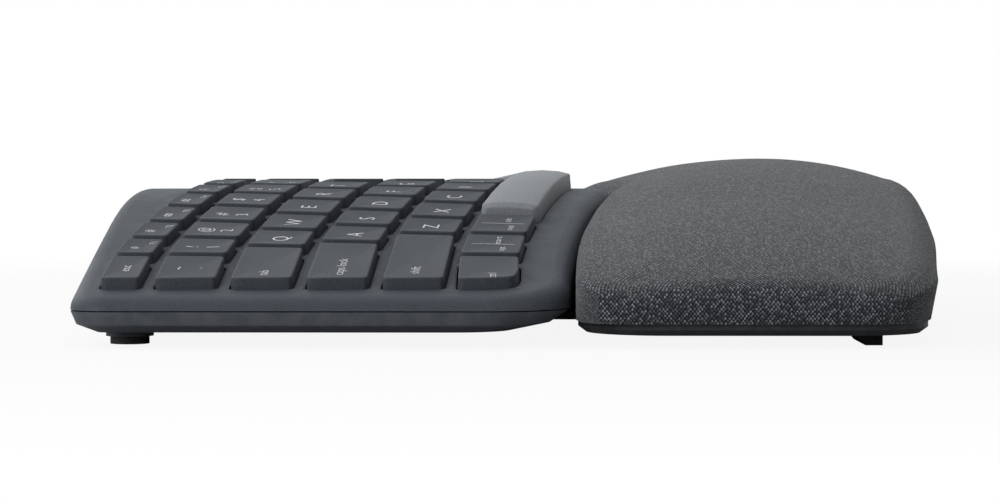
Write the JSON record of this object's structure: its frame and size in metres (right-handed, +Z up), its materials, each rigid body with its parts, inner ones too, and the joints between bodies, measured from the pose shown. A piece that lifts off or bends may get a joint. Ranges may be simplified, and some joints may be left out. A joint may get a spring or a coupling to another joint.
{
  "type": "ergonomic split keyboard",
  "caption": "Ergonomic keyboard with a domed, split key field, a number pad, a padded palm rest joined to its front and fold-out palm lift legs.",
  "frame": {"origin": "on the table, under the middle of the keyboard's bounding box", "axes": "+X to the typist's right, +Y away from the typist, +Z up"},
  "size_m": [0.456, 0.236, 0.0474],
  "materials": {
    "key_frame": "fine matt grain",
    "key_caps": "fine matt grain with pale legends",
    "space_bars": "fine matt grain, a lighter grey",
    "base_plastic": "textured black",
    "leg_plastic": "textured black",
    "switch_knob": "smooth green",
    "palm_fabric": "melange knit, charcoal with pale flecks",
    "palm_foam": "soft foam",
    "plate_steel": "rolled",
    "membrane_film": "clear film",
    "dome_rubber": "silicone",
    "lever_plastic": "smooth",
    "board_laminate": "solder mask",
    "cell_jacket": "satin",
    "contact_metal": "plated",
    "screw_steel": "blackened",
    "foot_rubber": "matt",
    "lens": "frosted"
  },
  "bodies": {
    "root": {"battery_cells": "cell_jacket", "battery_contacts": "contact_metal", "bottom_case": "base_plastic", "circuit_board": "board_laminate", "key_plate": "plate_steel", "leg_pins": "screw_steel", "membrane_sheet": "membrane_film", "palm_rest_base": "base_plastic", "palm_rest_cover": "palm_fabric", "palm_rest_foam": "palm_foam", "palm_rest_support": "base_plastic", "rubber_domes": "dome_rubber", "rubber_feet": "foot_rubber", "scissor_levers": "lever_plastic", "screws": "screw_steel", "status_light_lens": "lens", "top_case": "key_frame"},
    "long_leg_left": {"long_leg_left": "leg_plastic"},
    "short_leg_left": {"short_leg_left": "leg_plastic"},
    "long_leg_right": {"long_leg_right": "leg_plastic"},
    "short_leg_right": {"short_leg_right": "leg_plastic"},
    "battery_door": {"battery_door": "base_plastic"},
    "power_switch": {"power_switch": "switch_knob"},
    "space_bar_left": {"space_bar_left": "space_bars"},
    "space_bar_right": {"space_bar_right": "space_bars"},
    "key_a": {"key_a": "key_caps"},
    "key_b": {"key_b": "key_caps"},
    "key_c": {"key_c": "key_caps"},
    "key_d": {"key_d": "key_caps"},
    "key_e": {"key_e": "key_caps"},
    "key_f": {"key_f": "key_caps"},
    "key_g": {"key_g": "key_caps"},
    "key_h": {"key_h": "key_caps"},
    "key_i": {"key_i": "key_caps"},
    "key_j": {"key_j": "key_caps"},
    "key_k": {"key_k": "key_caps"},
    "key_l": {"key_l": "key_caps"},
    "key_m": {"key_m": "key_caps"},
    "key_n": {"key_n": "key_caps"},
    "key_o": {"key_o": "key_caps"},
    "key_p": {"key_p": "key_caps"},
    "key_q": {"key_q": "key_caps"},
    "key_r": {"key_r": "key_caps"},
    "key_s": {"key_s": "key_caps"},
    "key_t": {"key_t": "key_caps"},
    "key_u": {"key_u": "key_caps"},
    "key_v": {"key_v": "key_caps"},
    "key_w": {"key_w": "key_caps"},
    "key_x": {"key_x": "key_caps"},
    "key_y": {"key_y": "key_caps"},
    "key_z": {"key_z": "key_caps"},
    "function_keys_left": {"function_keys_left": "key_caps"},
    "function_keys_right": {"function_keys_right": "key_caps"},
    "navigation_keys": {"navigation_keys": "key_caps"},
    "number_keys_left": {"number_keys_left": "key_caps"},
    "number_keys_right": {"number_keys_right": "key_caps"},
    "numpad_keys": {"numpad_keys": "key_caps"},
    "side_keys_left": {"side_keys_left": "key_caps"},
    "side_keys_right": {"side_keys_right": "key_caps"}
  },
  "joints": [
    {"name": "long_leg_left_fold", "type": "hinge", "parent": "root", "child": "long_leg_left", "pos_m": [-0.15, -0.088, 0.0056], "axis": [-1, 0, 0], "range_deg": [0, 90]},
    {"name": "short_leg_left_fold", "type": "hinge", "parent": "root", "child": "short_leg_left", "pos_m": [-0.15, -0.088, 0.0056], "axis": [-1, 0, 0], "range_deg": [0, 90]},
    {"name": "long_leg_right_fold", "type": "hinge", "parent": "root", "child": "long_leg_right", "pos_m": [0.15, -0.088, 0.0056], "axis": [-1, 0, 0], "range_deg": [0, 90]},
    {"name": "short_leg_right_fold", "type": "hinge", "parent": "root", "child": "short_leg_right", "pos_m": [0.15, -0.088, 0.0056], "axis": [-1, 0, 0], "range_deg": [0, 90]},
    {"name": "battery_door_hinge", "type": "hinge", "parent": "root", "child": "battery_door", "pos_m": [0.02, 0.06835, 0.0044], "axis": [1, 0, 0], "range_deg": [0, 90]},
    {"name": "power_switch_slide", "type": "slide", "parent": "root", "child": "power_switch", "axis": [1, 0, 0], "range_m": [0, 0.003]},
    {"name": "space_bar_left_press", "type": "slide", "parent": "root", "child": "space_bar_left", "axis": [0.1257, -0.0007, -0.9921], "range_m": [0, 0.002], "stiffness_N_per_m": 250, "springref_m": -0.002, "deforming": ["rubber_domes", "scissor_levers"]},
    {"name": "space_bar_right_press", "type": "slide", "parent": "root", "child": "space_bar_right", "axis": [-0.0377, 0.0002, -0.9993], "range_m": [0, 0.002], "stiffness_N_per_m": 250, "springref_m": -0.002, "deforming": ["rubber_domes", "scissor_levers"]},
    {"name": "key_a_press", "type": "slide", "parent": "root", "child": "key_a", "axis": [0.2079, 0, -0.9781], "range_m": [0, 0.002], "stiffness_N_per_m": 150, "springref_m": -0.002, "deforming": ["rubber_domes", "scissor_levers"]},
    {"name": "key_b_press", "type": "slide", "parent": "root", "child": "key_b", "axis": [0.0472, 0.0004, -0.9989], "range_m": [0, 0.002], "stiffness_N_per_m": 150, "springref_m": -0.002, "deforming": ["rubber_domes", "scissor_levers"]},
    {"name": "key_c_press", "type": "slide", "parent": "root", "child": "key_c", "axis": [0.164, -0.0001, -0.9865], "range_m": [0, 0.002], "stiffness_N_per_m": 150, "springref_m": -0.002, "deforming": ["rubber_domes", "scissor_levers"]},
    {"name": "key_d_press", "type": "slide", "parent": "root", "child": "key_d", "axis": [0.1911, -0.0009, -0.9816], "range_m": [0, 0.002], "stiffness_N_per_m": 150, "springref_m": -0.002, "deforming": ["rubber_domes", "scissor_levers"]},
    {"name": "key_e_press", "type": "slide", "parent": "root", "child": "key_e", "axis": [0.2003, -0.0012, -0.9797], "range_m": [0, 0.002], "stiffness_N_per_m": 150, "springref_m": -0.002, "deforming": ["rubber_domes", "scissor_levers"]},
    {"name": "key_f_press", "type": "slide", "parent": "root", "child": "key_f", "axis": [0.135, 0, -0.9908], "range_m": [0, 0.002], "stiffness_N_per_m": 150, "springref_m": -0.002, "deforming": ["rubber_domes", "scissor_levers"]},
    {"name": "key_g_press", "type": "slide", "parent": "root", "child": "key_g", "axis": [0.0766, 0.0003, -0.9971], "range_m": [0, 0.002], "stiffness_N_per_m": 150, "springref_m": -0.002, "deforming": ["rubber_domes", "scissor_levers"]},
    {"name": "key_h_press", "type": "slide", "parent": "root", "child": "key_h", "axis": [-0.0106, 0.0001, -0.9999], "range_m": [0, 0.002], "stiffness_N_per_m": 150, "springref_m": -0.002, "deforming": ["rubber_domes", "scissor_levers"]},
    {"name": "key_i_press", "type": "slide", "parent": "root", "child": "key_i", "axis": [-0.0381, 0, -0.9993], "range_m": [0, 0.002], "stiffness_N_per_m": 150, "springref_m": -0.002, "deforming": ["rubber_domes", "scissor_levers"]},
    {"name": "key_j_press", "type": "slide", "parent": "root", "child": "key_j", "axis": [-0.0263, 0.0001, -0.9997], "range_m": [0, 0.002], "stiffness_N_per_m": 150, "springref_m": -0.002, "deforming": ["rubber_domes", "scissor_levers"]},
    {"name": "key_k_press", "type": "slide", "parent": "root", "child": "key_k", "axis": [-0.042, 0, -0.9991], "range_m": [0, 0.002], "stiffness_N_per_m": 150, "springref_m": -0.002, "deforming": ["rubber_domes", "scissor_levers"]},
    {"name": "key_l_press", "type": "slide", "parent": "root", "child": "key_l", "axis": [-0.0577, -0.0001, -0.9983], "range_m": [0, 0.002], "stiffness_N_per_m": 150, "springref_m": -0.002, "deforming": ["rubber_domes", "scissor_levers"]},
    {"name": "key_m_press", "type": "slide", "parent": "root", "child": "key_m", "axis": [-0.0342, 0, -0.9994], "range_m": [0, 0.002], "stiffness_N_per_m": 150, "springref_m": -0.002, "deforming": ["rubber_domes", "scissor_levers"]},
    {"name": "key_n_press", "type": "slide", "parent": "root", "child": "key_n", "axis": [-0.0185, 0.0001, -0.9998], "range_m": [0, 0.002], "stiffness_N_per_m": 150, "springref_m": -0.002, "deforming": ["rubber_domes", "scissor_levers"]},
    {"name": "key_o_press", "type": "slide", "parent": "root", "child": "key_o", "axis": [-0.0537, 0, -0.9986], "range_m": [0, 0.002], "stiffness_N_per_m": 150, "springref_m": -0.002, "deforming": ["rubber_domes", "scissor_levers"]},
    {"name": "key_p_press", "type": "slide", "parent": "root", "child": "key_p", "axis": [-0.0694, -0.0001, -0.9976], "range_m": [0, 0.002], "stiffness_N_per_m": 150, "springref_m": -0.002, "deforming": ["rubber_domes", "scissor_levers"]},
    {"name": "key_q_press", "type": "slide", "parent": "root", "child": "key_q", "axis": [0.2079, 0, -0.9781], "range_m": [0, 0.002], "stiffness_N_per_m": 150, "springref_m": -0.002, "deforming": ["rubber_domes", "scissor_levers"]},
    {"name": "key_r_press", "type": "slide", "parent": "root", "child": "key_r", "axis": [0.1495, 0, -0.9888], "range_m": [0, 0.002], "stiffness_N_per_m": 150, "springref_m": -0.002, "deforming": ["rubber_domes", "scissor_levers"]},
    {"name": "key_s_press", "type": "slide", "parent": "root", "child": "key_s", "axis": [0.2079, 0, -0.9781], "range_m": [0, 0.002], "stiffness_N_per_m": 150, "springref_m": -0.002, "deforming": ["rubber_domes", "scissor_levers"]},
    {"name": "key_t_press", "type": "slide", "parent": "root", "child": "key_t", "axis": [0.0912, 0.0002, -0.9958], "range_m": [0, 0.002], "stiffness_N_per_m": 150, "springref_m": -0.002, "deforming": ["rubber_domes", "scissor_levers"]},
    {"name": "key_u_press", "type": "slide", "parent": "root", "child": "key_u", "axis": [-0.0224, 0.0001, -0.9997], "range_m": [0, 0.002], "stiffness_N_per_m": 150, "springref_m": -0.002, "deforming": ["rubber_domes", "scissor_levers"]},
    {"name": "key_v_press", "type": "slide", "parent": "root", "child": "key_v", "axis": [0.1058, 0.0001, -0.9944], "range_m": [0, 0.002], "stiffness_N_per_m": 150, "springref_m": -0.002, "deforming": ["rubber_domes", "scissor_levers"]},
    {"name": "key_w_press", "type": "slide", "parent": "root", "child": "key_w", "axis": [0.2079, 0, -0.9781], "range_m": [0, 0.002], "stiffness_N_per_m": 150, "springref_m": -0.002, "deforming": ["rubber_domes", "scissor_levers"]},
    {"name": "key_x_press", "type": "slide", "parent": "root", "child": "key_x", "axis": [0.2058, -0.0009, -0.9786], "range_m": [0, 0.002], "stiffness_N_per_m": 150, "springref_m": -0.002, "deforming": ["rubber_domes", "scissor_levers"]},
    {"name": "key_y_press", "type": "slide", "parent": "root", "child": "key_y", "axis": [-0.0066, 0, -1], "range_m": [0, 0.002], "stiffness_N_per_m": 150, "springref_m": -0.002, "deforming": ["rubber_domes", "scissor_levers"]},
    {"name": "key_z_press", "type": "slide", "parent": "root", "child": "key_z", "axis": [0.2079, 0, -0.9781], "range_m": [0, 0.002], "stiffness_N_per_m": 150, "springref_m": -0.002, "deforming": ["rubber_domes", "scissor_levers"]},
    {"name": "function_keys_left_press", "type": "slide", "parent": "root", "child": "function_keys_left", "axis": [0.1706, 0, -0.9853], "range_m": [0, 0.002], "stiffness_N_per_m": 1050, "springref_m": -0.002, "deforming": ["rubber_domes", "scissor_levers"]},
    {"name": "function_keys_right_press", "type": "slide", "parent": "root", "child": "function_keys_right", "axis": [-0.0617, -0.0001, -0.9981], "range_m": [0, 0.002], "stiffness_N_per_m": 1050, "springref_m": -0.002, "deforming": ["rubber_domes", "scissor_levers"]},
    {"name": "navigation_keys_press", "type": "slide", "parent": "root", "child": "navigation_keys", "axis": [-0.1115, 0, -0.9938], "range_m": [0, 0.002], "stiffness_N_per_m": 1950, "springref_m": -0.002, "deforming": ["rubber_domes", "scissor_levers"]},
    {"name": "number_keys_left_press", "type": "slide", "parent": "root", "child": "number_keys_left", "axis": [0.1706, 0, -0.9853], "range_m": [0, 0.002], "stiffness_N_per_m": 1050, "springref_m": -0.002, "deforming": ["rubber_domes", "scissor_levers"]},
    {"name": "number_keys_right_press", "type": "slide", "parent": "root", "child": "number_keys_right", "axis": [-0.0617, -0.0001, -0.9981], "range_m": [0, 0.002], "stiffness_N_per_m": 1050, "springref_m": -0.002, "deforming": ["rubber_domes", "scissor_levers"]},
    {"name": "numpad_keys_press", "type": "slide", "parent": "root", "child": "numpad_keys", "axis": [-0.1115, 0, -0.9938], "range_m": [0, 0.002], "stiffness_N_per_m": 3150, "springref_m": -0.002, "deforming": ["rubber_domes", "scissor_levers"]},
    {"name": "side_keys_left_press", "type": "slide", "parent": "root", "child": "side_keys_left", "axis": [0.2079, 0, -0.9781], "range_m": [0, 0.002], "stiffness_N_per_m": 900, "springref_m": -0.002, "deforming": ["rubber_domes", "scissor_levers"]},
    {"name": "side_keys_right_press", "type": "slide", "parent": "root", "child": "side_keys_right", "axis": [-0.0885, -0.0002, -0.9961], "range_m": [0, 0.002], "stiffness_N_per_m": 1950, "springref_m": -0.002, "deforming": ["rubber_domes", "scissor_levers"]}
  ]
}
